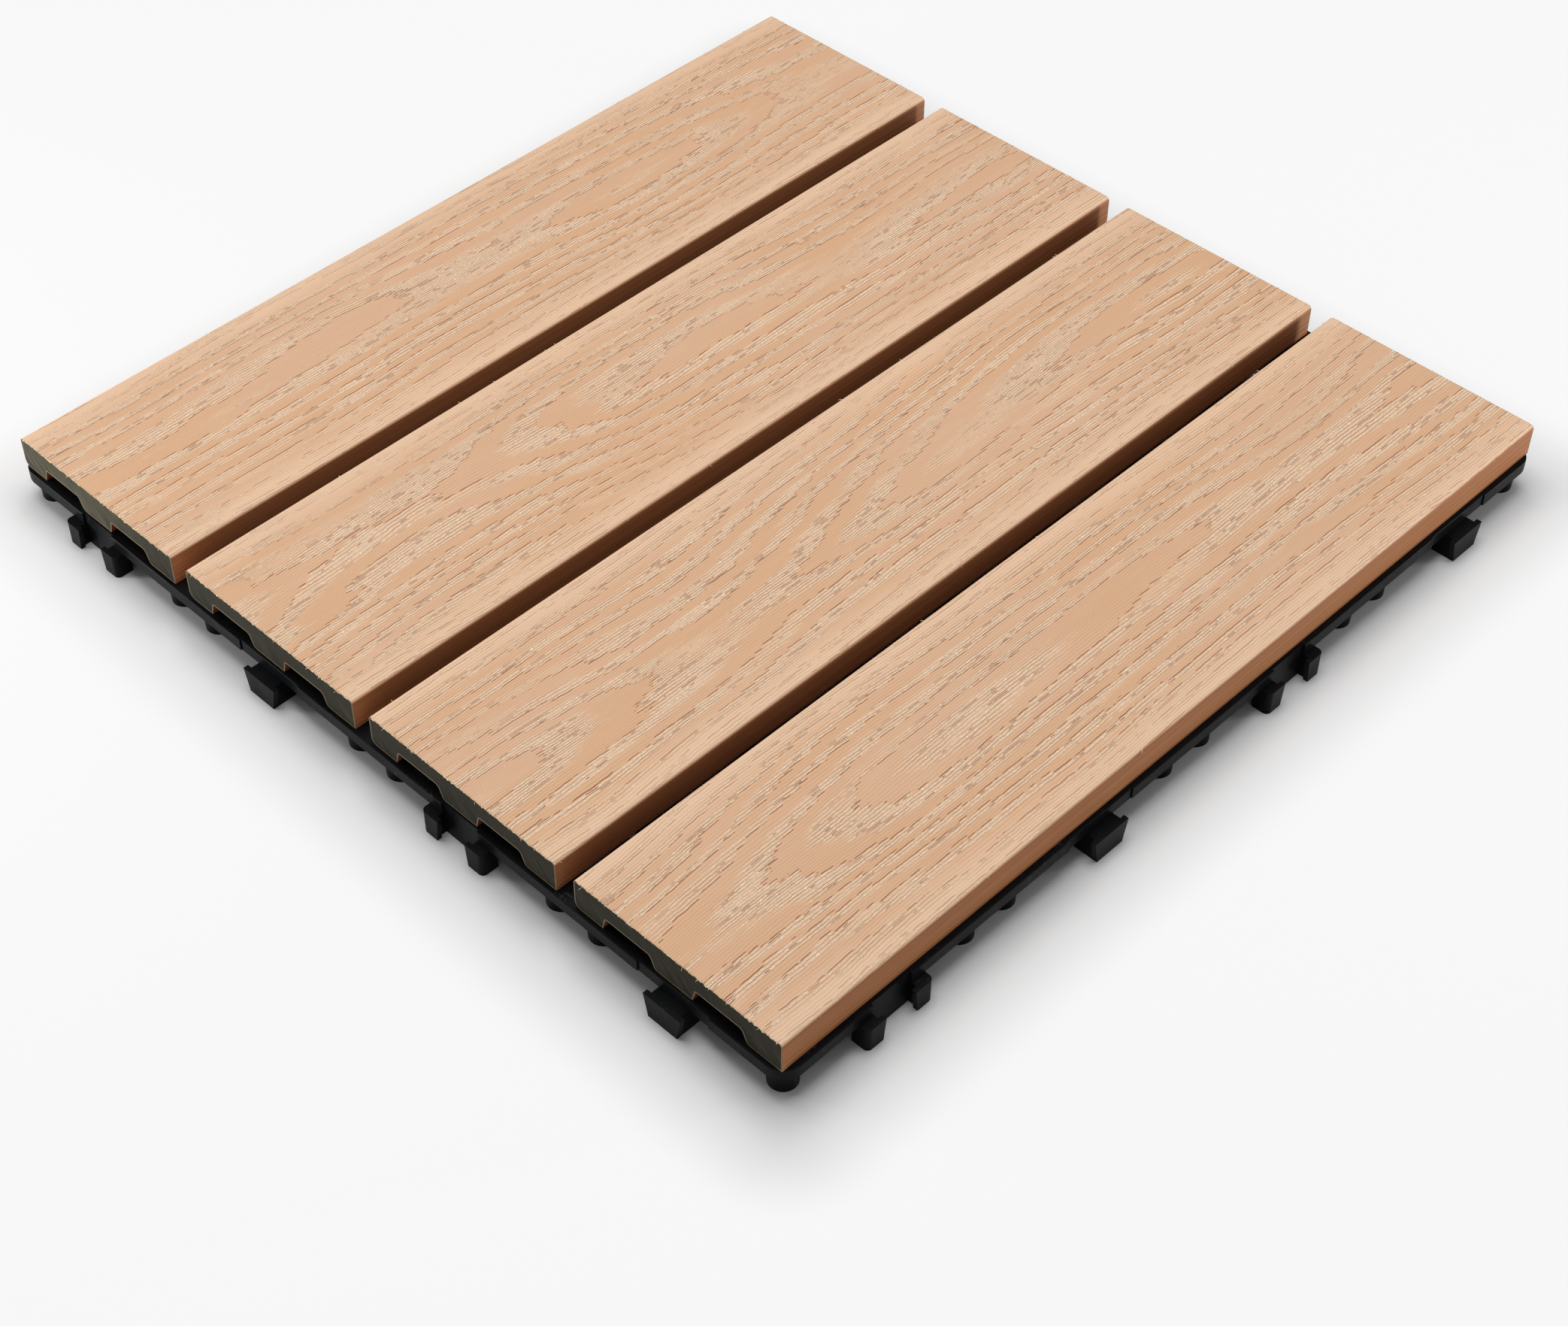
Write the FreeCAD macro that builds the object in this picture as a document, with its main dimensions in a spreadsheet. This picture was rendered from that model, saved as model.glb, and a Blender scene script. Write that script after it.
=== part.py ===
"""An interlocking deck tile: four capped composite planks screwed to one moulded grid base.

The frame is the tile's own: millimetres, origin at the middle of the underside where the feet stand,
X across the planks, Y along them and Z up. The base looks the same after each quarter turn, so one edge
of it is drawn, the one on the -Y side, and turned about Z. Tabs and loops take turns along an edge, so
that any edge of one tile drops into any edge of the next, with the module line midway between them.
"""

import FreeCAD
import Part
import Sketcher

import os
import re

SIZES = {
    # Module: one plank and one row of cells for each count, and the line that neighbours share
    "cell_count": 4,
    "cell_pitch": 75.0,
    # Rim of the base, set back from the module line, with a slope along its inner top edge and
    # a shallow bay behind each loop, where the lugs of the next tile stand
    "base_height": 11.0,
    "rim_setback": 1.5,
    "rim_width": 5.3,
    "rim_height": 3.6,
    "rim_round": 6.0,
    "rim_edge": 0.3,
    "slope_width": 2.0,
    "slope_drop": 0.5,
    "bay_depth": 0.4,
    "bay_gap": 0.6,
    # Ribs: T-shaped ones in a lattice, and low flat ones along each edge
    "web_width": 1.9,
    "web_depth": 5.0,
    "flange_width": 3.3,
    "flange_depth": 2.0,
    "low_width": 2.0,
    "low_depth": 3.0,
    # Tubular feet, widening upwards, blind from below, and where the ones off the grid stand
    "foot_inset": 7.5,
    "foot_width": 7.8,
    "foot_draft": 1.6,
    "foot_bore": 5.7,
    "foot_roof": 1.5,
    "border_foot_inset": 23.5,
    "rib_foot_inset": 26.4,
    "corner_foot_near": 26.0,
    "corner_foot_far": 34.0,
    # Loop latch: a neck with a flared bar at its end and a blind slot behind the bar
    "loop_reach": 2.0,
    "loop_neck": 9.7,
    "loop_flare": 1.45,
    "loop_bar": 1.5,
    "loop_start": 0.6,
    "slot_width": 5.9,
    "slot_wall": 1.8,
    "slot_roof": 1.4,
    "collar_wall": 0.7,
    # Tab latch: two lugs on a bar, hooked towards each other, that take the loop between them
    "latch_gap": 0.2,
    "tab_reach": 1.4,
    "tab_neck": 7.6,
    "tab_bar": 1.5,
    "lug_width": 4.7,
    "lug_round": 1.5,
    "hook_depth": 1.4,
    "hook_top": 1.45,
    "hook_foot": 0.7,
    # Planks, with two channels along the underside and a thin cap all round the section
    "plank_width": 68.5,
    "plank_length": 294.5,
    "plank_height": 9.8,
    "plank_round": 1.2,
    "plank_heel": 2.0,
    "cap_wall": 0.35,
    "channel_inset": 9.7,
    "channel_pitch": 30.1,
    "channel_mouth": 17.6,
    "channel_depth": 3.95,
    "channel_lean": 1.0,
    "channel_sweep": 1.7,
    "channel_fillet": 0.6,
    "channel_round": 1.5,
    # Screws, driven from below through the base into the planks
    "seat_depth": 3.2,
    "head_width": 5.2,
    "head_height": 2.2,
    "head_round": 1.5,
    "drive_span": 3.0,
    "drive_width": 0.7,
    "drive_depth": 1.1,
    "shank_width": 2.9,
    "shank_length": 13.8,
    "shank_point": 2.0,
    "shank_gap": 0.1,
}

# Distances that several pieces share, as expressions in the sheet's names
HALF = "(cell_count * cell_pitch / 2)"
HALF_CELL = "(cell_pitch / 2)"
CROSS_ROW = "((foot_inset + cell_pitch / 2) / 2)"
RIM_FOOT = "(base_height - rim_height)"
RECESS = "(loop_reach + latch_gap)"
LUG_INSIDE = "(loop_neck / 2 + loop_flare + latch_gap)"

ALIAS = re.compile(r"\b([a-z]+(?:_[a-z]+)+)\b")

# Points nearer than this are taken as one
TOUCH = 0.01

doc = FreeCAD.newDocument("deck_tile")
sheet = doc.addObject("Spreadsheet::Sheet", "sizes")
for row, (alias, number) in enumerate(SIZES.items(), start=1):
    sheet.set(f"A{row}", alias)
    sheet.set(f"B{row}", str(number))
    sheet.setAlias(f"B{row}", alias)
doc.recompute()


def value(text):
    """What an expression in the sheet's names comes to."""
    return float(sheet.evalExpression(text))


def bind(item, name, text):
    """Tie a property of an item to an expression in the sheet's names."""
    item.setExpression(name, ALIAS.sub(r"sizes.\1", text))


def make_body(label):
    body = doc.addObject("PartDesign::Body", label)
    body.Label = label
    return body


def origin_part(body, role):
    """One of a body's own origin planes or axes."""
    return next(item for item in body.Origin.OriginFeatures if item.Role == role)


def attach(body, item, role, offset="0"):
    """Lay an item on one of a body's origin planes, lifted along the plane's normal."""
    item.AttachmentSupport = (origin_part(body, role), [""])
    item.MapMode = "FlatFace"
    bind(item, "AttachmentOffset.Base.z", offset)


def add_sketch(body, name, role="XY_Plane", offset="0"):
    sketch = body.newObject("Sketcher::SketchObject", f"{name}_sketch")
    attach(body, sketch, role, offset)
    return sketch


def limit(sketch, kind, text, *targets):
    """Add a dimension to a sketch and tie it to an expression."""
    index = sketch.addConstraint(Sketcher.Constraint(kind, *targets, value(text)))
    bind(sketch, f"Constraints[{index}]", text)


def pin(sketch, shape, end, place):
    limit(sketch, "DistanceX", place[0], shape, end)
    limit(sketch, "DistanceY", place[1], shape, end)


def draw_outline(sketch, corners):
    """Close straight lines through corners, each an x and a y and, where it is rounded, a radius."""
    first = sketch.GeometryCount
    points = [FreeCAD.Vector(value(corner[0]), value(corner[1]), 0) for corner in corners]
    ends = points[1:] + points[:1]
    sketch.addGeometry([Part.LineSegment(start, end) for start, end in zip(points, ends)])
    for index, corner in enumerate(corners):
        following = first + (index + 1) % len(corners)
        sketch.addConstraint(Sketcher.Constraint("Coincident", first + index, 2, following, 1))
        pin(sketch, first + index, 1, corner)
    for index, corner in enumerate(corners):
        if len(corner) == 3:
            sketch.fillet(first + index, 1, value(corner[2]), True, True)
            limit(sketch, "Radius", corner[2], sketch.GeometryCount - 2)


def four_turns(corners):
    """All corners of an outline that looks the same after a quarter turn, from one quarter's corners."""
    outline = []
    for _ in range(4):
        outline += corners
        corners = [(f"-({y})", x, *rest) for x, y, *rest in corners]
    return outline


def draw_box(sketch, left, right, low, high):
    draw_outline(sketch, [(left, low), (right, low), (right, high), (left, high)])


def draw_circles(sketch, places, width):
    up = FreeCAD.Vector(0, 0, 1)
    for place in places:
        centre = FreeCAD.Vector(value(place[0]), value(place[1]), 0)
        shape = sketch.addGeometry(Part.Circle(centre, up, value(width) / 2))
        pin(sketch, shape, 3, place)
        limit(sketch, "Diameter", width, shape)


def add_feature(body, kind, name, sketch=None):
    feature = body.newObject(f"PartDesign::{kind}", name)
    if sketch:
        feature.Profile = sketch
    feature.Refine = False
    body.Tip = feature
    return feature


def add_pad(body, name, sketch, length):
    pad = add_feature(body, "Pad", name, sketch)
    bind(pad, "Length", length)
    return pad


def add_pocket(body, name, sketch, depth):
    """Cut upwards from a sketch's plane."""
    pocket = add_feature(body, "Pocket", name, sketch)
    pocket.Reversed = True
    bind(pocket, "Length", depth)
    return pocket


def add_primitive(kind, name, **sizes):
    """A cone or cylinder at the origin, with its sizes tied to expressions."""
    item = doc.addObject(f"Part::{kind}", name)
    for size, text in sizes.items():
        bind(item, size, text)
    return item


def vector(x, y, z=0):
    return FreeCAD.Vector(x, y, z)


def standing(item, places):
    """Copies of an item's shape, moved from the origin to places."""
    return [item.Shape.translated(vector(value(x), value(y))) for x, y in places]


def round_the_tile(shapes):
    """Copies of what belongs to the -Y edge, turned about Z onto all four edges."""
    up = vector(0, 0, 1)
    return [shape.rotated(vector(0, 0), up, 90 * turn) for shape in shapes for turn in range(4)]


def edge_place(along, inset):
    """A place on the -Y edge, from the corner at -X and from the module line."""
    return (f"{along} - {HALF}", f"{inset} - {HALF}")


def pair_shift(pair):
    """How far a pair of latches, a tab and a loop, lies along an edge from the first one."""
    return f"{pair} * 2 * cell_pitch"


def pair_count():
    return int(value("cell_count")) // 2


def rim_outline():
    """The rim's outer outline: rounded corners, and a bay behind each loop."""
    outer = f"({HALF} - rim_setback)"
    half_bay = f"({LUG_INSIDE} + lug_width + bay_gap)"
    quarter = [(f"-{outer}", f"-{outer}", "rim_round")]
    for pair in range(pair_count()):
        middle = f"({HALF_CELL} + cell_pitch - {HALF} + {pair_shift(pair)})"
        left = f"({middle} - {half_bay})"
        right = f"({middle} + {half_bay})"
        floor = f"(bay_depth - {outer})"
        quarter += [(left, f"-{outer}"), (left, floor), (right, floor), (right, f"-{outer}")]
    return four_turns(quarter)


def top_edges(feature, outer):
    """Names of a feature's edges along the rim's top, either those outside its width or those inside."""
    inside = value(f"{HALF} - rim_setback - rim_width")
    top = value("base_height")
    names = []
    for index, edge in enumerate(feature.Shape.Edges, start=1):
        reach = max(max(abs(corner.X), abs(corner.Y)) for corner in edge.Vertexes)
        level = all(abs(corner.Z - top) < TOUCH for corner in edge.Vertexes)
        if level and (reach > inside + TOUCH) == outer:
            names.append(f"Edge{index}")
    return names


def model_rim():
    """The flat strip round the base, rounded along its outer top edge and sloped along its inner one."""
    body = make_body("rim")
    sketch = add_sketch(body, "rim", offset=RIM_FOOT)
    inner = f"({HALF} - rim_setback - rim_width)"
    draw_outline(sketch, rim_outline())
    draw_outline(sketch, four_turns([(f"-{inner}", f"-{inner}")]))
    pad = add_pad(body, "rim_strip", sketch, "rim_height")
    doc.recompute()
    slope = add_feature(body, "Chamfer", "rim_slope")
    slope.Base = (pad, top_edges(pad, outer=False))
    slope.ChamferType = "Two distances"
    bind(slope, "Size", "slope_drop")
    bind(slope, "Size2", "slope_width")
    doc.recompute()
    edge = add_feature(body, "Fillet", "rim_edge_round")
    edge.Base = (slope, top_edges(slope, outer=True))
    bind(edge, "Radius", "rim_edge")
    return body


def model_tab():
    """Two lugs on a bar across a foot, with hooks that taper down, and the recess above the bar."""
    middle = f"({HALF_CELL} - {HALF})"
    hub = f"(foot_inset - {HALF})"
    face = f"(-{HALF} + {RECESS})"
    back = f"({face} + tab_bar)"
    front = f"(-{HALF} - tab_reach)"
    outside = f"({LUG_INSIDE} + lug_width)"
    right_half = [
        ("tab_neck / 2", hub),
        ("tab_neck / 2", back),
        (outside, back),
        (outside, front, "lug_round"),
        (LUG_INSIDE, front),
        (LUG_INSIDE, face),
    ]
    corners = [(f"{middle} + {x}", *rest) for x, *rest in right_half]
    corners += [(f"{middle} - {x}", *rest) for x, *rest in reversed(right_half)]
    tab = make_body("tab")
    sketch = add_sketch(tab, "lugs")
    draw_outline(sketch, corners)
    add_pad(tab, "lugs", sketch, RIM_FOOT)
    sketch = add_sketch(tab, "hooks", "XZ_Plane", HALF)
    root = f"({LUG_INSIDE} + lug_width / 2)"
    side = [
        (root, "0"),
        (root, RIM_FOOT),
        (f"({LUG_INSIDE} - hook_top)", RIM_FOOT),
        (f"({LUG_INSIDE} - hook_foot)", "0"),
    ]
    for sign in ("+", "-"):
        draw_outline(sketch, [(f"{middle} {sign} {x}", z) for x, z in side])
    add_pad(tab, "hooks", sketch, "hook_depth")
    recess = make_body("recess")
    sketch = add_sketch(recess, "recess")
    draw_box(sketch, f"{middle} - {LUG_INSIDE}", f"{middle} + {LUG_INSIDE}", f"-{HALF}", face)
    add_pad(recess, "recess_depth", sketch, "2 * base_height")
    return tab, recess


def model_loop():
    """A neck out from a foot, its end bar flared towards the top, and the slot behind the bar."""
    middle = f"({HALF_CELL} + cell_pitch - {HALF})"
    hub = f"(foot_inset - {HALF})"
    front = f"(-{HALF} - loop_reach)"
    body = make_body("loop")
    sketch = add_sketch(body, "neck")
    draw_box(sketch, f"{middle} - loop_neck / 2", f"{middle} + loop_neck / 2", front, hub)
    add_pad(body, "neck", sketch, RIM_FOOT)
    sketch = add_sketch(body, "end_bar", "XZ_Plane", f"{HALF} + loop_reach - loop_bar")
    top = "(loop_neck / 2 + loop_flare)"
    draw_outline(
        sketch,
        [
            (f"{middle} - loop_neck / 2", "loop_start"),
            (f"{middle} + loop_neck / 2", "loop_start"),
            (f"{middle} + {top}", RIM_FOOT),
            (f"{middle} - {top}", RIM_FOOT),
        ],
    )
    add_pad(body, "end_bar", sketch, "loop_bar")
    sketch = add_sketch(body, "slot")
    wall = f"({front} + slot_wall)"
    draw_box(sketch, f"{middle} - slot_width / 2", f"{middle} + slot_width / 2", wall, hub)
    add_pocket(body, "slot", sketch, f"{RIM_FOOT} - slot_roof")
    sketch = add_sketch(body, "collar")
    draw_circles(sketch, [(middle, hub)], "foot_width + 2 * collar_wall")
    add_pad(body, "collar", sketch, RIM_FOOT)
    return body


def rib_lines():
    """Middle lines of the T-shaped ribs: cell borders, diagonals inside and a zigzag at the edges.

    These are the ones of the -Y edge. Turned onto all four edges they make the whole lattice.
    """
    steps = 2 * int(value("cell_count"))
    step = value(HALF_CELL)
    half = value(HALF)
    row = value(f"foot_inset - {HALF}")
    node = step - half
    lines = [((row, row), (0, 0)), ((node, row), (row, node))]
    lines += [((border * step - half, row), (border * step - half, 0)) for border in range(2, steps, 2)]
    lines += [((node + shift * step, node), (-node, -node - shift * step)) for shift in range(1, steps - 2)]
    for foot in range(1, steps - 1):
        start = foot * step - half
        lines += [((start, row), (start + step, node)), ((-start, row), (-start - step, node))]
    return lines


def low_lines():
    """Middle lines of the flat ribs from the corners to just past the nearest cell borders."""
    row = value(f"{CROSS_ROW} - {HALF}")
    end = value(f"cell_pitch * 5 / 4 - {HALF}")
    return [((row, row), (end, row)), ((-row, row), (-end, row))]


def model_rib(line, levels):
    """A bar along a line, its section given as a half-width for each level from the bottom up."""
    right = [(half, z) for half, low, high in levels for z in (low, high)]
    outline = right + [(-half, z) for half, z in reversed(right)]
    start, end = (vector(*point) for point in line)
    section = Part.Face(Part.makePolygon([vector(0, y, z) for y, z in outline + outline[:1]]))
    bar = section.extrude(vector((end - start).Length, 0))
    bar.Placement = FreeCAD.Placement(start, FreeCAD.Rotation(vector(1, 0), end - start))
    return bar


def model_ribs():
    top, web_foot, flange_foot, low_foot = (
        value(f"base_height - {depth}") for depth in ("0", "web_depth", "flange_depth", "low_depth")
    )
    web = (value("web_width / 2"), web_foot, flange_foot)
    flange = (value("flange_width / 2"), flange_foot, top)
    low = (value("low_width / 2"), low_foot, top)
    ribs = [model_rib(line, [web, flange]) for line in rib_lines()]
    return ribs + [model_rib(line, [low]) for line in low_lines()]


def edge_feet():
    """The feet of one edge: three for each cell, without the next edge's corner, and six further in."""
    cells = int(value("cell_count"))
    along = []
    for cell in range(cells):
        start = f"{cell} * cell_pitch"
        along += [f"{start} + foot_inset", f"{start} + {HALF_CELL}", f"{start} + cell_pitch - foot_inset"]
    places = [edge_place(text, "foot_inset") for text in along[:-1]]
    places += [edge_place(f"{border} * cell_pitch", "border_foot_inset") for border in (1, cells - 1)]
    rise = f"(rib_foot_inset - {CROSS_ROW}) / ({HALF_CELL} - {CROSS_ROW})"
    off = f"cell_pitch / 4 * (1 + {rise})"
    places += [edge_place(f"{HALF} {sign} {off}", "rib_foot_inset") for sign in ("-", "+")]
    places.append(edge_place("corner_foot_near", "corner_foot_far"))
    places.append(edge_place("corner_foot_far", "corner_foot_near"))
    return places


def seat_feet():
    """The latch feet of one edge that have a screw seat: the ones nearest its ends."""
    feet = edge_feet()
    return [feet[1], feet[3 * int(value("cell_count")) - 2]]


def cell_middles():
    """Places of the screw bosses inside the rim: the middle of each cell but the corner ones."""
    cells = int(value("cell_count"))
    last = cells - 1
    return [
        (f"{i + 0.5} * cell_pitch - {HALF}", f"{j + 0.5} * cell_pitch - {HALF}")
        for i in range(cells)
        for j in range(cells)
        if (i in (0, last)) + (j in (0, last)) < 2
    ]


def cell_corners():
    inner = range(1, int(value("cell_count")))
    return [(f"{i} * cell_pitch - {HALF}", f"{j} * cell_pitch - {HALF}") for i in inner for j in inner]


def model_base():
    """The moulded base: rim, ribs, latches and feet as one solid, then its recesses and bores."""
    rim = model_rim()
    tab, recess = model_tab()
    loop = model_loop()
    top_radius = "foot_width / 2 + base_height * tan(foot_draft)"
    foot = add_primitive("Cone", "foot", Radius1="foot_width / 2", Radius2=top_radius, Height="base_height")
    bore = add_primitive("Cylinder", "bore", Radius="foot_bore / 2", Height="base_height - foot_roof")
    seat = add_primitive("Cylinder", "seat", Radius="foot_bore / 2", Height="seat_depth")
    hole_radius = "(shank_width + shank_gap) / 2"
    hole = add_primitive("Cylinder", "hole", Radius=hole_radius, Height="2 * base_height")
    doc.recompute()
    pairs = [vector(value(pair_shift(pair)), 0) for pair in range(pair_count())]
    latches = [body.Shape.translated(move) for body in (tab, loop) for move in pairs]
    recesses = [recess.Shape.translated(move) for move in pairs]
    seats = seat_feet()
    plain = [place for place in edge_feet() if place not in seats]
    solids = round_the_tile(latches + model_ribs() + standing(foot, plain + seats))
    solids += standing(foot, cell_middles() + cell_corners())
    hollows = round_the_tile(recesses + standing(bore, plain))
    hollows += round_the_tile(standing(seat, seats) + standing(hole, seats))
    hollows += standing(bore, cell_corners())
    hollows += standing(seat, cell_middles()) + standing(hole, cell_middles())
    base = doc.addObject("Part::Feature", "base_grid")
    base.Label = "base_grid"
    whole = rim.Shape.multiFuse(solids).removeSplitter()
    base.Shape = whole.cut(hollows).removeSplitter()
    base.Placement = FreeCAD.Placement()
    return base


def plank_section(skin):
    """Corners of a plank's section, drawn in by a skin, from the middle of its underside."""
    left = f"(-plank_width / 2 + {skin})"
    right = f"(plank_width / 2 - {skin})"
    top = f"(plank_height - {skin})"
    floor = f"({skin})"
    ceiling = f"(channel_depth + {skin})"
    corners = [(left, floor, f"plank_heel - {skin}")]
    for channel in (0, 1):
        start = f"(channel_inset + {channel} * channel_pitch - plank_width / 2)"
        end = f"({start} + channel_mouth)"
        lean = "(channel_lean / channel_depth)"
        sweep = "(channel_sweep / channel_depth)"
        near = f"{start} - {skin} * sqrt(1 + {lean}^2)"
        far = f"{end} + {skin} * sqrt(1 + {sweep}^2)"
        corners += [
            (f"{near} + {floor} * {lean}", floor),
            (f"{near} + {ceiling} * {lean}", ceiling, f"channel_fillet + {skin}"),
            (f"{far} - {ceiling} * {sweep}", ceiling, f"channel_round + {skin}"),
            (f"{far} - {floor} * {sweep}", floor, f"channel_round - {skin}"),
        ]
    corners += [
        (right, floor),
        (right, top, f"plank_round - {skin}"),
        (left, top, f"plank_round - {skin}"),
    ]
    return corners


def plank_screws(plank):
    """Screw places of one plank, from its own middle."""
    cells = int(value("cell_count"))
    out = f"({HALF_CELL} - foot_inset)"
    side = {0: f"-{out}", cells - 1: out}.get(plank, "0")
    far = f"({HALF} - {HALF_CELL})"
    near = f"({far} - cell_pitch)"
    return [(side, f"-{far}"), ("0", f"-{near}"), ("0", near), (side, far)]


def plank_middle(plank):
    return f"({plank + 0.5} * cell_pitch - {HALF})"


def model_plank_part(label, plank, skin):
    """One plank's whole section, or the core inside its cap, with the holes that the screws cut."""
    body = make_body(label)
    bind(body, "Placement.Base.x", plank_middle(plank))
    bind(body, "Placement.Base.z", "base_height")
    sketch = add_sketch(body, f"{label}_section", "XZ_Plane")
    draw_outline(sketch, plank_section(skin))
    pad = add_pad(body, f"{label}_bar", sketch, "plank_length")
    pad.Midplane = True
    sketch = add_sketch(body, f"{label}_holes")
    draw_circles(sketch, plank_screws(plank), "shank_width + shank_gap")
    depth = "seat_depth + shank_length - base_height + shank_gap"
    add_pocket(body, f"{label}_holes", sketch, depth)
    return body


def model_plank(plank):
    number = plank + 1
    whole = model_plank_part(f"plank_{number}_whole", plank, "0")
    core = model_plank_part(f"plank_{number}_core", plank, "cap_wall")
    cap = doc.addObject("Part::Cut", f"plank_{number}_cap")
    cap.Label = f"plank_{number}_cap"
    cap.Base = whole
    cap.Tool = core
    return [core, cap]


def model_screw():
    """One pan-head screw, point up, standing in its seat at the middle of the tile."""
    body = make_body("screw")
    sketch = add_sketch(body, "screw_profile", "XZ_Plane")
    tip = "(seat_depth + shank_length)"
    low = "(seat_depth - head_height)"
    draw_outline(
        sketch,
        [
            ("0", low),
            ("head_width / 2", low, "head_round"),
            ("head_width / 2", "seat_depth"),
            ("shank_width / 2", "seat_depth"),
            ("shank_width / 2", f"{tip} - shank_point"),
            ("0", tip),
        ],
    )
    turned = add_feature(body, "Revolution", "screw_turned", sketch)
    turned.ReferenceAxis = (sketch, ["V_Axis"])
    turned.Angle = 360
    sketch = add_sketch(body, "drive", offset=low)
    arm = "drive_span / 2"
    half = "drive_width / 2"
    draw_outline(sketch, four_turns([(arm, half), (half, half), (half, arm)]))
    add_pocket(body, "drive", sketch, "drive_depth")
    return body


def model_screws():
    """All the screws as one group of separate solids."""
    screw = model_screw()
    doc.recompute()
    copies = []
    for plank in range(int(value("cell_count"))):
        for x, y in plank_screws(plank):
            place = FreeCAD.Vector(value(f"{plank_middle(plank)} + {x}"), value(y), 0)
            copies.append(screw.Shape.translated(place))
    group = doc.addObject("Part::Feature", "screws")
    group.Label = "screws"
    group.Shape = Part.makeCompound(copies)
    group.Placement = FreeCAD.Placement()
    return group


def check(parts):
    """Stop if any object failed or any piece has no sound shape."""
    for item in doc.Objects:
        if "Invalid" in item.State or "Error" in item.State:
            raise RuntimeError(f"{item.Label} failed: {item.State}")
    for part in parts:
        if part.Shape.isNull() or not part.Shape.isValid():
            raise RuntimeError(f"{part.Label} has no valid shape")


parts = [model_base()]
for plank in range(int(value("cell_count"))):
    parts += model_plank(plank)
parts.append(model_screws())
doc.recompute()
check(parts)

os.makedirs("parts", exist_ok=True)
for part in parts:
    part.Shape.exportStep(f"parts/{part.Label}.step")
    solids = len(part.Shape.Solids)
    print(f"{part.Label}: {solids} solids, {part.Shape.Volume / 1000:.2f} cubic centimetres")
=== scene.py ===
"""Looks of the interlocking deck tile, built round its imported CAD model. Units are metres unless stated."""

import math
import random
from collections import namedtuple

import bmesh
import bpy
from mathutils import Matrix, Vector


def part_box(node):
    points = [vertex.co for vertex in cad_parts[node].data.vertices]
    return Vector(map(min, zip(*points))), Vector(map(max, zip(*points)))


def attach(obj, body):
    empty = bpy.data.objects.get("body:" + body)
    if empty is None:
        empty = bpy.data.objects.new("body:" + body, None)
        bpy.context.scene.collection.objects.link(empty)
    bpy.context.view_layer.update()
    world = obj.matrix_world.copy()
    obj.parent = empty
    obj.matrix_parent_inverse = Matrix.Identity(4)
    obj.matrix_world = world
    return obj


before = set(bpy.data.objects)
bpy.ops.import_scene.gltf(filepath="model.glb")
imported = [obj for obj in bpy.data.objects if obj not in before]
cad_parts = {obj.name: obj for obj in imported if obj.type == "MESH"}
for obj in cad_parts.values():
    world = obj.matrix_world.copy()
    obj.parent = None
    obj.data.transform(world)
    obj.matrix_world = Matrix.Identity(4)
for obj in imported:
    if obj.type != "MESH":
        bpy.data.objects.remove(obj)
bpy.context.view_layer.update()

MM = 0.001

# The planks: their pitch, top, cut end and underside, and the round of their top edges
PLANKS = ("plank_1", "plank_2", "plank_3", "plank_4")
PITCH = 75 * MM
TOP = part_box("plank_1_cap")[1].z
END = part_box("plank_1_cap")[1].y
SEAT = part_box("plank_1_cap")[0].z
EDGE_ROUND = 1.2 * MM

# The photograph's width in pixels, and the camera that was solved from the tile's corners in it
PHOTO_WIDTH = 2086
SENSOR_WIDTH = 36.0
FOCAL_PIXELS = 3668.9
CENTRE_PIXEL = 950.0
CAMERA_PLACE = Vector((401.97, -411.71, 517.41)) * MM
AZIMUTH, ELEVATION, ROLL = (math.radians(angle) for angle in (46.089, 45.581, -1.073))

# The grain's pressed lines in millimetres: their pitch, and how far they drift and wiggle sideways
LINE_PITCH = 0.85
LINE_DRIFT = 12.0
LINE_WIGGLE = 0.45
# Its growth rings in millimetres: their pitch, how far they wave, and how far they jump from line to line
RING_PITCH = 4.0
RING_WAVE = 9.0
RING_JUMP = 1.8
# The smooth share of each ring
LATE_SHARE = 0.4
# How far the heart of the rings wanders across the plank, its least depth and how much deeper it sinks
HEART_WANDER = 36.0
HEART_DEPTH = -2.0
HEART_SINKS = 30.0
# How far from the plank's middle line the plainer border begins and is full, in millimetres
BORDER = (23.0, 32.0)
# How deep the grain is pressed
GRAIN_DEPTH = 0.2 * MM

# Where the finishes change, in millimetres. Each pair is where a soft step starts and where it is full.
# The cap: down from its top, out from its middle line, up from its underside, and in from its cut ends
TOP_DEPTHS = (0.9, 0.15)
UNDERSIDE_ACROSS = (33.2, 32.2)
UNDERSIDE_HEIGHTS = (6.0, 5.0)
CHANNEL_FOOT = (0.1, 0.3)
CHANNEL_ROOF = (3.8, 3.4)
SAWN_DEPTHS = (0.06, 0.03)
# The core: where along x it turns to the first plank's paler tones, painted light that stands in for light falling
# on that plank's cut end from the left
LIT_CORE_ACROSS = (-84.0, -112.0)

# Tones are sRGB colours of 0 to 255. On top of a plank: smooth rings, combed rings, lines, pale flecks that are
# painted highlights on the grain's ridges, and dashes
LATE_TONES = ((222, 178, 140), (223, 182, 148))
EARLY_TONE = (238, 203, 171)
LINE_TONE = (186, 117, 64)
HIGHLIGHT_FLECK_TONE = (255, 233, 202)
DASH_TONE = (150, 74, 28)
# The sides of the last plank, whose outer one the photograph shows, and of the others, which it shows in gaps
OPEN_SIDE_TONES = ((159, 98, 55), (183, 123, 77))
# The gap sides are painted paler than the outer side: painted light that stands in for light reaching down into the
# gaps
GAP_SIDE_LIT_TONES = ((172, 112, 72), (196, 138, 95))
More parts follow.
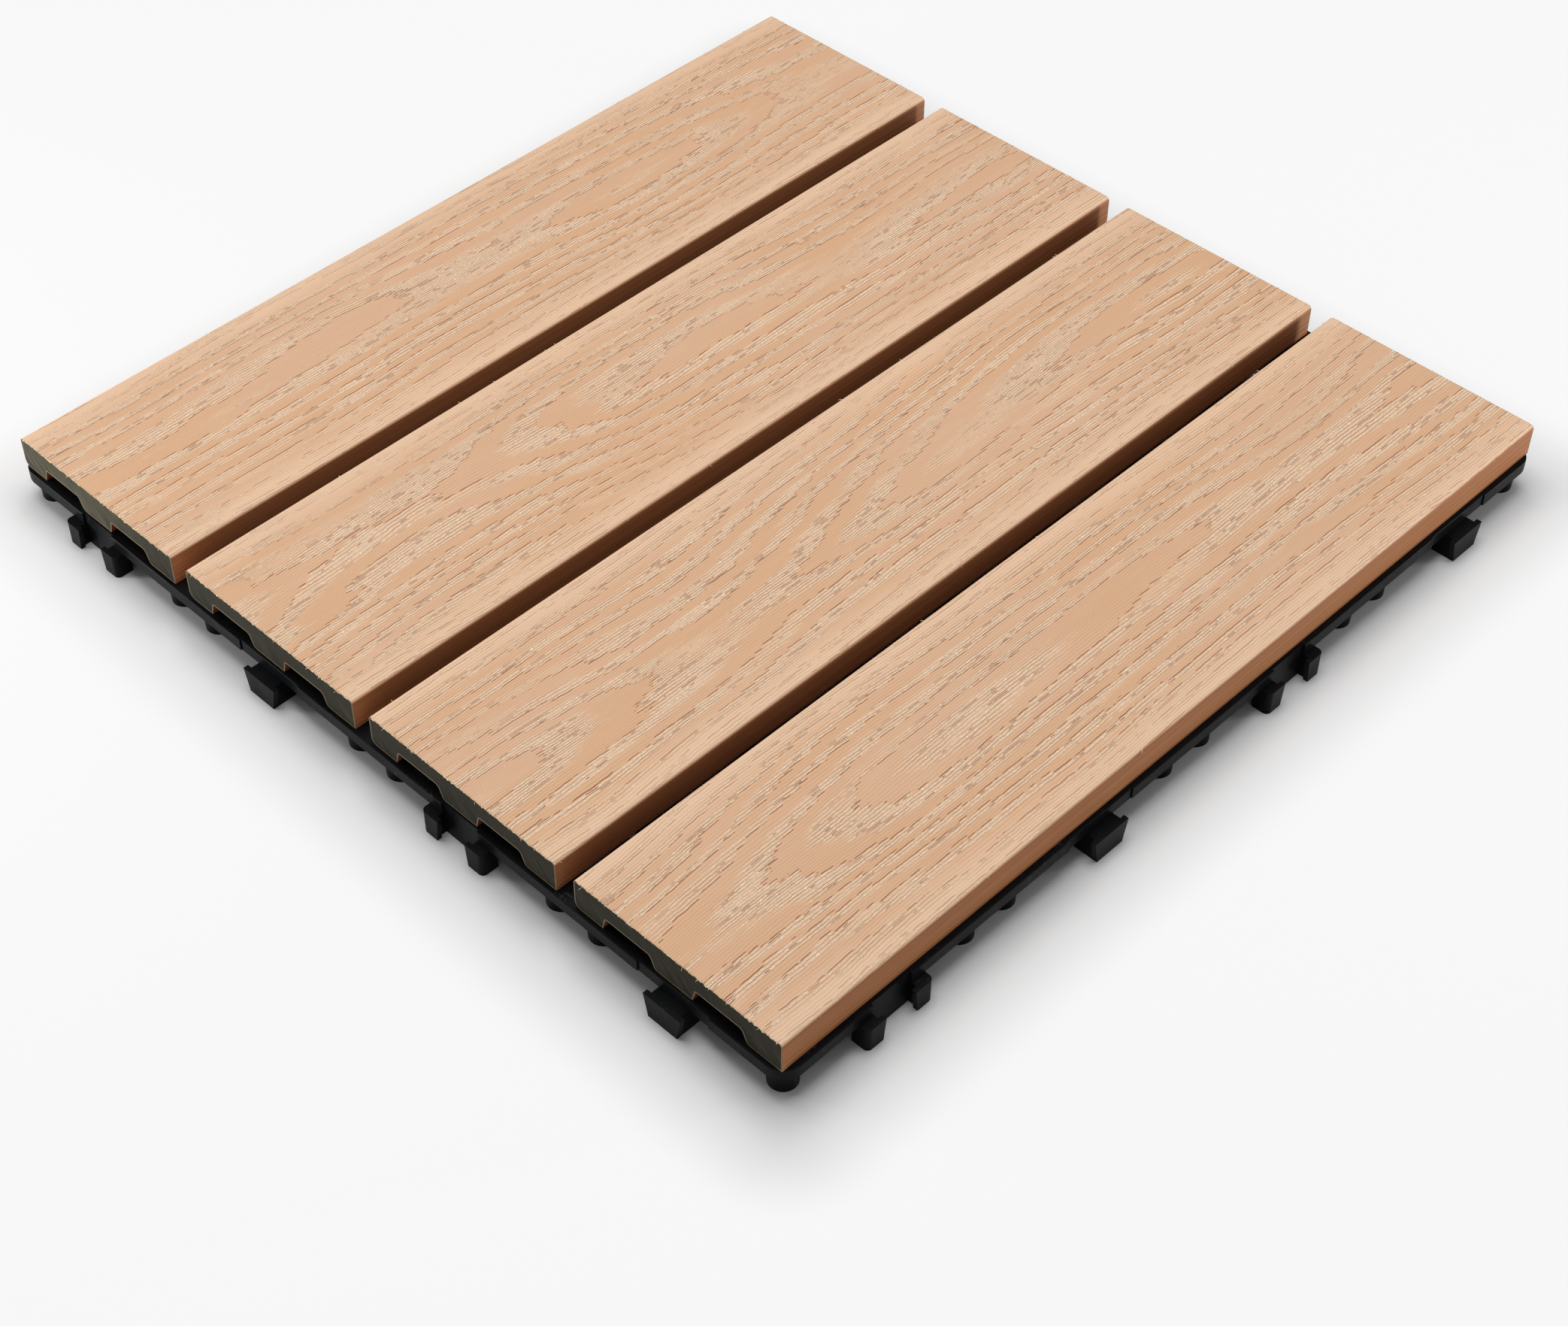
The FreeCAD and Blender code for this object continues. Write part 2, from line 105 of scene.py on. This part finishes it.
# The rest of the cap, the core with its saw marks and specks, and torn plastic
UNDERSIDE_TONE = (206, 152, 112)
# The channel walls: a redder tone of the cap, painted darker as shade in the channel
CHANNEL_SHADED_TONE = (150, 82, 52)
SAWN_CAP_TONE = (120, 106, 82)
CORE_TONES = ((33, 31, 23), (57, 52, 39))
# Painted light: the first plank's core tones, paler as if lit from the left
LIT_CORE_TONES = ((46, 44, 33), (84, 79, 61))
SPECK_TONE = (90, 83, 66)
BURR_TONES = ((222, 184, 140), (246, 224, 190))
# The base, its scuffs and the screws
BASE_TONES = ((9, 10, 11), (22, 23, 25))
SCUFF_TONE = (70, 72, 76)
SCREW_TONES = ((22, 22, 23), (48, 48, 50))

# The ragged lip of a cut end: how far it hangs, stands proud and is sunk, and the width of its teeth
FRINGE_DROPS = [share * MM for share in (0.04, 0.06, 0.08, 0.1, 0.12, 0.14, 0.18, 0.26, 0.5)]
FRINGE_REACH = (0.03 * MM, 0.2 * MM)
FRINGE_STEP = (0.2 * MM, 0.5 * MM)
FRINGE_SINK = 0.03 * MM

# Torn fibres: how many at a cut end and on a long edge, how long, how thick and how they taper
END_FIBRES = 9
SIDE_FIBRES = 5
END_FIBRE_LENGTHS = (0.4 * MM, 1.5 * MM)
SIDE_FIBRE_LENGTHS = (0.6 * MM, 1.6 * MM)
FIBRE_RADIUS = 0.09 * MM
FIBRE_TAPER = (1.0, 1.0, 0.8, 0.3)
# How far below the top a fibre leaves a cut end, and how straight it heads away
FIBRE_START_DEPTH = 0.15 * MM
FIBRE_THRUST = 1.2

# The floor: its size and colour, how white it looks to the camera, and how far that fades out near the tile, where
# the fade paints a shade round it
FLOOR_SIZE = 30.0
FLOOR_COLOUR = (0.75, 0.75, 0.75, 1.0)
FLOOR_WHITE = 0.8
FLOOR_FADE = 30 * MM

# Each square lamp's name, place, width and power. The low ones, off two opposite corners, light sides and ends.
LAMPS = (
    ("key", (-0.15, 0.05, 1.2), 0.9, 11.5),
    ("back", (0.43, 0.43, 0.06), 0.1, 1.0),
    ("front", (-0.31, -0.36, 0.045), 0.08, 0.9),
)
WORLD_STRENGTH = 0.25

# One plank's grain: its graph, the place in it in millimetres, and the masks of what is drawn there
Grain = namedtuple("Grain", "graph place raised lines flecks dashes")


def rgb(red, green, blue):
    """A shader colour from the three parts of an sRGB colour, each 0 to 255."""
    def linear(part):
        share = part / 255
        return share / 12.92 if share <= 0.04045 else ((share + 0.055) / 1.055) ** 2.4
    return (linear(red), linear(green), linear(blue), 1.0)


class Graph:
    """A material's node tree, with short calls for the nodes that the finishes share."""

    def __init__(self, name):
        self.material = bpy.data.materials.new(name)
        self.material.use_nodes = True
        self.tree = self.material.node_tree
        self.shader = self.tree.nodes["Principled BSDF"]
        self.place = self.tree.nodes.new("ShaderNodeTexCoord").outputs["Object"]

    def node(self, kind, values=(), **settings):
        """A node with its settings made and its sockets linked or filled."""
        made = self.tree.nodes.new(kind)
        for key, value in settings.items():
            setattr(made, key, value)
        for socket, value in dict(values).items():
            self.feed(made.inputs[socket], value)
        return made

    def feed(self, socket, value):
        """A link where the value is another node's output, and else the plain value."""
        if isinstance(value, bpy.types.NodeSocket):
            self.tree.links.new(value, socket)
        else:
            socket.default_value = value

    def surface(self, values):
        """The material, with its shader's sockets linked or filled."""
        for socket, value in values.items():
            self.feed(self.shader.inputs[socket], value)
        return self.material

    def math(self, operation, first, second=0.0, third=0.0):
        values = {0: first, 1: second, 2: third}
        return self.node("ShaderNodeMath", values, operation=operation).outputs[0]

    def times(self, first, *others):
        """The product of two or more values."""
        for other in others:
            first = self.math("MULTIPLY", first, other)
        return first

    def apart(self, first, second):
        """How far two values are from each other."""
        return self.math("ABSOLUTE", self.math("SUBTRACT", first, second))

    def scaled(self, vector, factors, shift=(0.0, 0.0, 0.0)):
        """The vector times one factor for each axis, plus a shift."""
        values = {0: vector, 1: factors, 2: shift}
        return self.node("ShaderNodeVectorMath", values, operation="MULTIPLY_ADD").outputs[0]

    def millimetres(self, middle=0.0):
        """The place on the object in millimetres, with x counted from a middle that is in metres."""
        return self.scaled(self.place, (1 / MM,) * 3, (-middle / MM, 0.0, 0.0))

    def split(self, vector):
        return self.node("ShaderNodeSeparateXYZ", {0: vector}).outputs

    def joined(self, x=0.0, y=0.0, z=0.0):
        return self.node("ShaderNodeCombineXYZ", {0: x, 1: y, 2: z}).outputs[0]

    def noise(self, vector, scale=1.0, detail=2.0, roughness=0.5):
        values = {"Vector": vector, "Scale": scale, "Detail": detail, "Roughness": roughness}
        return self.node("ShaderNodeTexNoise", values).outputs["Fac"]

    def ramp(self, value, low, high, start=0.0, end=1.0):
        """A smooth step from start to end as the value goes from low to high."""
        values = {"Value": value, "From Min": low, "From Max": high, "To Min": start, "To Max": end}
        return self.node("ShaderNodeMapRange", values, interpolation_type="SMOOTHSTEP").outputs[0]

    def mix(self, factor, first, second):
        """A colour between the first, at factor 0, and the second, at factor 1. Each is a tone or an output."""
        made = self.node("ShaderNodeMix", data_type="RGBA")
        self.feed(made.inputs["Factor"], factor)
        for socket, value in (("A", first), ("B", second)):
            self.feed(made.inputs[socket], rgb(*value) if isinstance(value, tuple) else value)
        return made.outputs["Result"]

    def bump(self, height, distance, strength):
        values = {"Height": height, "Distance": distance, "Strength": strength}
        return self.node("ShaderNodeBump", values).outputs[0]


def line_noise(graph, index, line, along, stride, pace):
    """Noise along one pressed line. The stride sets it apart from the next line's, the pace is how fast it runs."""
    return graph.noise(graph.joined(graph.times(line, stride), graph.times(along, pace), index))


def ring_phase(graph, index, across, along, line):
    """Which ring a pressed line runs through, and how far into it, at a place along the plank."""
    heart = graph.noise(graph.joined(2.7 * index, graph.times(along, 0.0035), 1.0), detail=1.0)
    depth = graph.noise(graph.joined(7.1 * index, graph.times(along, 0.0055), 4.0), detail=1.0)
    wander = graph.math("MULTIPLY_ADD", heart, HEART_WANDER, -HEART_WANDER / 2)
    offset = graph.math("SUBTRACT", across, wander)
    below = graph.math("MULTIPLY_ADD", depth, HEART_SINKS, HEART_DEPTH)
    radius = graph.math("SQRT", graph.math("MULTIPLY_ADD", below, below, graph.times(offset, offset)))
    wave = graph.noise(graph.joined(graph.times(across, 0.08), graph.times(along, 0.009), 5.3 * index))
    ring = graph.math("MULTIPLY_ADD", wave, RING_WAVE, radius)
    jump = line_noise(graph, index, line, along, stride=7.31, pace=0.05)
    ring = graph.math("MULTIPLY_ADD", jump, RING_JUMP, ring)
    turns = graph.times(ring, 1 / RING_PITCH)
    return graph.math("FLOOR", graph.math("SUBTRACT", turns, LATE_SHARE)), graph.math("FRACT", turns)


def plank_grain(index):
    """The grain embossed on one plank's top face: its graph, the place in it and the masks that the cap uses."""
    graph = Graph(f"cap_{index}")
    place = graph.millimetres((index - 2.5) * PITCH)
    across, along, _ = graph.split(place)

    # Lines pressed side by side along the grain, each with a number of its own
    flow = graph.noise(graph.scaled(place, (0.03, 0.007, 0.0), (6.0, 3.0, 1.9 * index)))
    wiggle = graph.noise(graph.scaled(place, (0.25, 0.35, 0.0), (0.0, 9.0, index)), detail=1.0)
    drift = graph.math("MULTIPLY_ADD", wiggle, LINE_WIGGLE, graph.times(flow, LINE_DRIFT))
    lined = graph.times(graph.math("ADD", drift, across), 1 / LINE_PITCH)
    line = graph.math("FLOOR", lined)
    step = graph.math("FRACT", lined)
    beside = graph.apart(step, 0.5)

    # The ring that this line and the next one run through, each taken at the line's own middle
    centre = graph.math("MULTIPLY_ADD", graph.math("SUBTRACT", 0.5, step), LINE_PITCH, across)
    following = graph.math("ADD", centre, LINE_PITCH)
    ring, phase = ring_phase(graph, index, centre, along, line)
    next_ring, _ = ring_phase(graph, index, following, along, graph.math("ADD", line, 1.0))
    border = graph.ramp(graph.math("ABSOLUTE", across), *BORDER)

    # The early part of each ring, which is combed, and less so along the plank's borders
    dense = graph.noise(graph.scaled(place, (0.06, 0.012, 0.0), (8.0, 1.0, index)), detail=1.0)
    early = graph.times(
        graph.ramp(phase, LATE_SHARE, LATE_SHARE + 0.03),
        graph.ramp(phase, 1.0, 0.8),
        graph.ramp(dense, 0.32, 0.52, 0.4, 1.0),
        graph.math("MULTIPLY_ADD", border, -0.55, 1.0),
    )

    # Dark dashes: the broken outline of each ring, and pores in the middle of the lines of its early part
    broken = line_noise(graph, index, line, along, stride=5.91, pace=0.17)
    outline = graph.times(
        graph.ramp(graph.apart(step, 0.84), 0.16, 0.05),
        graph.math("MINIMUM", graph.apart(ring, next_ring), 1.0),
        graph.ramp(broken, 0.40, 0.50),
        graph.math("MULTIPLY_ADD", border, -0.5, 1.0),
    )
    dash = line_noise(graph, index, line, along, stride=3.77, pace=0.14)
    pores = graph.times(graph.ramp(dash, 0.575, 0.615), graph.ramp(beside, 0.16, 0.07), early)

    # The lines themselves, worn away in places, and pale flecks between them: painted highlights, as on the lit
    # edges of the pressed grooves
    worn = line_noise(graph, index, line, along, stride=2.13, pace=0.05)
    lines = graph.times(
        graph.ramp(beside, 0.30, 0.47),
        graph.ramp(early, 0.0, 1.0, 0.35, 1.0),
        graph.ramp(worn, 0.35, 0.60, 0.35, 1.0),
    )
    glint_noise = graph.noise(graph.scaled(place, (3.0, 0.5, 0.0), (3.0, 55.0, index)), roughness=0.6)
    flecks = graph.times(graph.ramp(glint_noise, 0.50, 0.62), early, graph.ramp(beside, 0.46, 0.36))
    raised = graph.math("MAXIMUM", early, graph.times(border, 0.8))
    return Grain(graph, place, raised, lines, flecks, graph.math("MAXIMUM", outline, pores))


def cap_material(index):
    """The plank's coextruded cap: wood grain embossed on its top face, drawn lines along its sides."""
    grain = plank_grain(index)
    graph = grain.graph
    across, along, up = graph.split(grain.place)
    tone = graph.noise(graph.scaled(grain.place, (0.04, 0.01, 0.0), (1.0, 2.0, index)), detail=1.0)
    face = graph.mix(grain.raised, graph.mix(graph.ramp(tone, 0.35, 0.65), *LATE_TONES), EARLY_TONE)
    # The pale flecks' tone is a painted highlight; the bump below also raises them
    for mask, drawn_tone in ((grain.lines, LINE_TONE), (grain.flecks, HIGHLIGHT_FLECK_TONE), (grain.dashes, DASH_TONE)):
        face = graph.mix(graph.times(mask, 0.9), face, drawn_tone)

    drawn = graph.noise(graph.scaled(grain.place, (0.4, 0.004, 2.6)), detail=3.0, roughness=0.6)
    # Painted light: the sides that face a gap get the paler tones
    side_tones = OPEN_SIDE_TONES if index == len(PLANKS) else GAP_SIDE_LIT_TONES
    side = graph.mix(graph.ramp(drawn, 0.35, 0.65), *side_tones)
    height = graph.math("SUBTRACT", up, SEAT / MM)
    wall = graph.times(graph.ramp(height, *CHANNEL_FOOT), graph.ramp(height, *CHANNEL_ROOF))
    beneath = graph.times(
        graph.ramp(graph.math("ABSOLUTE", across), *UNDERSIDE_ACROSS),
        graph.ramp(height, *UNDERSIDE_HEIGHTS),
    )
    # The channel walls get the redder tone of the cap, painted darker as shade in the channel
    colour = graph.mix(beneath, side, graph.mix(wall, UNDERSIDE_TONE, CHANNEL_SHADED_TONE))
    on_top = graph.ramp(graph.math("SUBTRACT", TOP / MM, up), *TOP_DEPTHS)
    colour = graph.mix(on_top, colour, face)
    sawn = graph.ramp(graph.math("SUBTRACT", END / MM, graph.math("ABSOLUTE", along)), *SAWN_DEPTHS)

    groove = graph.times(graph.math("MAXIMUM", grain.dashes, grain.lines), 0.6)
    relief = graph.times(graph.math("SUBTRACT", graph.times(grain.flecks, 0.7), groove), on_top)
    return graph.surface({
        "Base Color": graph.mix(sawn, colour, SAWN_CAP_TONE),
        "Roughness": 0.6,
        "Specular IOR Level": 0.3,
        "Normal": graph.bump(relief, GRAIN_DEPTH, 0.9),
    })


def core_material():
    """The plank's core, seen where the saw cut it: grey-green, with slanting saw marks, and painted light that
    turns it paler over the first plank.
    """
    graph = Graph("core")
    place = graph.millimetres()
    across, _, up = graph.split(place)
    slanted = graph.joined(graph.math("MULTIPLY_ADD", up, 0.9, across), graph.times(up, 0.07))
    marks = graph.noise(slanted, scale=1.6, detail=3.0)
    sawn = graph.ramp(marks, 0.35, 0.65)
    # Painted light: the core turns paler towards the first plank, as if lit from its left
    pale = graph.ramp(across, *LIT_CORE_ACROSS)
    tone = graph.mix(pale, graph.mix(sawn, *CORE_TONES), graph.mix(sawn, *LIT_CORE_TONES))
    specks = graph.ramp(graph.noise(place, scale=2.4, detail=3.0, roughness=0.7), 0.62, 0.8)
    return graph.surface({
        "Base Color": graph.mix(specks, tone, SPECK_TONE),
        "Roughness": 0.75,
        "Specular IOR Level": 0.2,
        "Normal": graph.bump(marks, 0.15 * MM, 0.6),
    })


def base_material():
    """Black moulded plastic with a satin skin and patches of scuffs."""
    graph = Graph("base")
    place = graph.millimetres()
    cloud = graph.noise(place, scale=0.08, detail=4.0, roughness=0.6)
    fine = graph.noise(place, scale=3.0)
    scuffs = graph.noise(graph.scaled(place, (0.9, 0.9, 0.5)), scale=0.8, detail=4.0, roughness=0.7)
    patches = graph.noise(place, scale=0.05, detail=1.0)
    scuffed = graph.times(graph.ramp(scuffs, 0.56, 0.68), graph.ramp(patches, 0.45, 0.6), 0.5)
    return graph.surface({
        "Base Color": graph.mix(scuffed, graph.mix(cloud, *BASE_TONES), SCUFF_TONE),
        "Roughness": graph.ramp(cloud, 0.3, 0.7, 0.32, 0.46),
        "Specular IOR Level": 0.06,
        "Normal": graph.bump(fine, 0.05 * MM, 0.25),
    })


def screw_material():
    """Black coated steel."""
    graph = Graph("screw")
    fine = graph.noise(graph.millimetres(), scale=2.0, detail=3.0)
    return graph.surface({
        "Base Color": graph.mix(fine, *SCREW_TONES),
        "Roughness": graph.ramp(fine, 0.3, 0.7, 0.28, 0.42),
        "Metallic": 0.6,
    })


def burr_material():
    """Torn cap plastic, paler than the face that it comes from."""
    graph = Graph("burr")
    patches = graph.noise(graph.millimetres(), scale=0.9)
    return graph.surface({
        "Base Color": graph.mix(graph.ramp(patches, 0.4, 0.6), *BURR_TONES),
        "Roughness": 0.7,
        "Specular IOR Level": 0.2,
    })


def paint(node, material):
    """Gives a CAD node one material on its object's slots."""
    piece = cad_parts[node]
    if not piece.material_slots:
        piece.data.materials.append(material)
    for slot in piece.material_slots:
        slot.material = material


def close_rings(shape, rings):
    """Joins rings that have the same number of corners into one closed skin."""
    for ring, following in zip(rings, rings[1:]):
        for corner in range(len(ring)):
            beyond = (corner + 1) % len(ring)
            shape.faces.new((ring[corner], ring[beyond], following[beyond], following[corner]))
    shape.faces.new(rings[0][::-1])
    shape.faces.new(rings[-1])


def add_tube(shape, points, radii):
    """A thin tapering three-sided fibre through points, closed at both ends."""
    rings = []
    for number, (point, radius) in enumerate(zip(points, radii)):
        before, after = points[max(number - 1, 0)], points[min(number + 1, len(points) - 1)]
        turn = (after - before).to_track_quat("Z", "X")
        rings.append([
            shape.verts.new(point + turn @ Vector((radius * math.cos(angle), radius * math.sin(angle), 0.0)))
            for angle in (0.0, math.tau / 3, 2 * math.tau / 3)
        ])
    close_rings(shape, rings)


def add_fringe(shape, chance, left, right, edge, outward):
    """The ragged lip that a saw leaves along the top of a cut end, between two places along x."""
    rings = []
    x = left
    while x < right:
        hang = chance.choice(FRINGE_DROPS) * chance.uniform(0.7, 1.3)
        proud = chance.uniform(*FRINGE_REACH)
        high, low = TOP - FRINGE_SINK, TOP - FRINGE_SINK - hang
        inner, outer = edge - outward * FRINGE_SINK, edge + outward * proud
        corners = ((outer, high), (outer, low), (inner, low), (inner, high))
        rings.append([shape.verts.new((x, y, z)) for y, z in corners])
        x += chance.uniform(*FRINGE_STEP)
    close_rings(shape, rings)


def add_fibre(shape, chance, start, outward, lengths):
    """One torn fibre that curls away from an edge, no higher than the plank's top."""
    length = chance.uniform(*lengths) * chance.uniform(0.6, 1.0)
    heading = Vector((chance.uniform(-1.0, 1.0), chance.uniform(-1.0, 1.0), chance.uniform(-0.5, 0.1)))
    heading = (outward * FIBRE_THRUST + heading).normalized()
    bend = Vector((chance.uniform(-0.5, 0.5), chance.uniform(-0.5, 0.5), chance.uniform(-0.7, 0.0)))
    points, place = [], start.copy()
    for _ in FIBRE_TAPER:
        place.z = min(place.z, TOP - FIBRE_RADIUS)
        points.append(place.copy())
        place = place + heading * (length / (len(FIBRE_TAPER) - 1))
        heading = (heading + bend).normalized()
    add_tube(shape, points, [FIBRE_RADIUS * share for share in FIBRE_TAPER])


def add_object(name, shape, material):
    """A new object in the scene, made from a finished bmesh."""
    data = bpy.data.meshes.new(name)
    shape.to_mesh(data)
    shape.free()
    data.materials.append(material)
    made = bpy.data.objects.new(name, data)
    bpy.context.scene.collection.objects.link(made)
    return made


def make_burrs(plank, material):
    """What sawing left on one plank: a ragged lip and torn fibres at its ends, and a few on its long edges."""
    low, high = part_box(f"{plank}_cap")
    chance = random.Random(plank)
    shape = bmesh.new()
    left, right = low.x + EDGE_ROUND, high.x - EDGE_ROUND
    for edge, outward in ((low.y, -1), (high.y, 1)):
        add_fringe(shape, chance, left, right, edge, outward)
        for _ in range(END_FIBRES):
            start = Vector((chance.uniform(left, right), edge, TOP - FIBRE_START_DEPTH))
            add_fibre(shape, chance, start, Vector((0, outward, 0)), END_FIBRE_LENGTHS)
    inset = EDGE_ROUND * (1 - math.sqrt(0.5))
    for edge, outward in ((low.x, -1), (high.x, 1)):
        for _ in range(SIDE_FIBRES):
            start = Vector((edge - outward * inset, chance.uniform(low.y, high.y), TOP - inset))
            add_fibre(shape, chance, start, Vector((outward, 0, 0)), SIDE_FIBRE_LENGTHS)
    bmesh.ops.recalc_face_normals(shape, faces=shape.faces)
    piece = add_object(f"{plank}_burrs", shape, material)
    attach(piece, "root")


def floor_material():
    """Pale and matt, and near white to the camera and to reflections away from the tile; nearer the tile the white
    fades, a painted shade.
    """
    graph = Graph("floor")
    graph.surface({"Base Color": FLOOR_COLOUR, "Roughness": 0.9, "Specular IOR Level": 0.1})
    path = graph.node("ShaderNodeLightPath").outputs
    seen = graph.math("MAXIMUM", path["Is Camera Ray"], path["Is Glossy Ray"])
    seen = graph.math("MAXIMUM", seen, path["Is Transmission Ray"])

    # How far a place on the floor is beyond the four planks' square, which is four pitches wide
    across, along, _ = graph.split(graph.place)
    beyond = [
        graph.math("MAXIMUM", graph.math("SUBTRACT", graph.math("ABSOLUTE", way), 2 * PITCH), 0.0)
        for way in (across, along)
    ]
    square = graph.math("MULTIPLY_ADD", beyond[0], beyond[0], graph.times(beyond[1], beyond[1]))
    # The white fades out towards the tile: a painted shade round it, on top of its cast shadow
    away = graph.ramp(graph.math("SQRT", square), 0.0, FLOOR_FADE)

    white = graph.node("ShaderNodeEmission", {"Strength": 1.0})
    share = graph.times(seen, away, FLOOR_WHITE)
    mixed = graph.node("ShaderNodeMixShader", {0: share, 1: graph.shader.outputs[0], 2: white.outputs[0]})
    graph.tree.links.new(mixed.outputs[0], graph.tree.nodes["Material Output"].inputs[0])
    return graph.material


def make_floor():
    """A pale sheet that runs far past the view, with the tile's soft shadow on it and a painted shade round the
    tile.
    """
    shape = bmesh.new()
    bmesh.ops.create_grid(shape, x_segments=1, y_segments=1, size=FLOOR_SIZE)
    add_object("floor", shape, floor_material())


def make_world():
    """An even pale world."""
    world = bpy.data.worlds.new("studio")
    bpy.context.scene.world = world
    world.use_nodes = True
    background = world.node_tree.nodes["Background"]
    background.inputs["Color"].default_value = (1.0, 1.0, 1.0, 1.0)
    background.inputs["Strength"].default_value = WORLD_STRENGTH


def make_lamp(name, place, size, power):
    """A square area lamp aimed at the tile."""
    data = bpy.data.lights.new(name, "AREA")
    data.energy = power
    data.size = size
    lamp = bpy.data.objects.new(name, data)
    bpy.context.scene.collection.objects.link(lamp)
    lamp.location = place
    lamp.visible_camera = False
    lamp.rotation_euler = (-Vector(place)).to_track_quat("-Z", "Y").to_euler()


def make_camera():
    """The photograph's camera: its place, its line of sight and its turn about that line."""
    ahead = Vector((
        -math.sin(AZIMUTH) * math.cos(ELEVATION),
        math.cos(AZIMUTH) * math.cos(ELEVATION),
        -math.sin(ELEVATION),
    ))
    right = ahead.cross(Vector((0, 0, 1))).normalized()
    up = right.cross(ahead)
    rolled_right = math.cos(ROLL) * right + math.sin(ROLL) * up
    rolled_up = math.cos(ROLL) * up - math.sin(ROLL) * right
    data = bpy.data.cameras.new("camera")
    data.sensor_width = SENSOR_WIDTH
    data.lens = FOCAL_PIXELS / PHOTO_WIDTH * SENSOR_WIDTH
    data.shift_x = (PHOTO_WIDTH / 2 - CENTRE_PIXEL) / PHOTO_WIDTH
    data.clip_start = 0.01
    camera = bpy.data.objects.new("camera", data)
    bpy.context.scene.collection.objects.link(camera)
    turn = Matrix((rolled_right, rolled_up, -ahead)).transposed()
    camera.matrix_world = Matrix.Translation(CAMERA_PLACE) @ turn.to_4x4()
    bpy.context.scene.camera = camera


make_camera()
make_world()
make_floor()
for lamp in LAMPS:
    make_lamp(*lamp)
bpy.context.scene.view_settings.view_transform = "Standard"

core = core_material()
torn = burr_material()
for number, plank in enumerate(PLANKS, 1):
    paint(f"{plank}_cap", cap_material(number))
    paint(f"{plank}_core", core)
    make_burrs(plank, torn)
paint("base_grid", base_material())
paint("screws", screw_material())
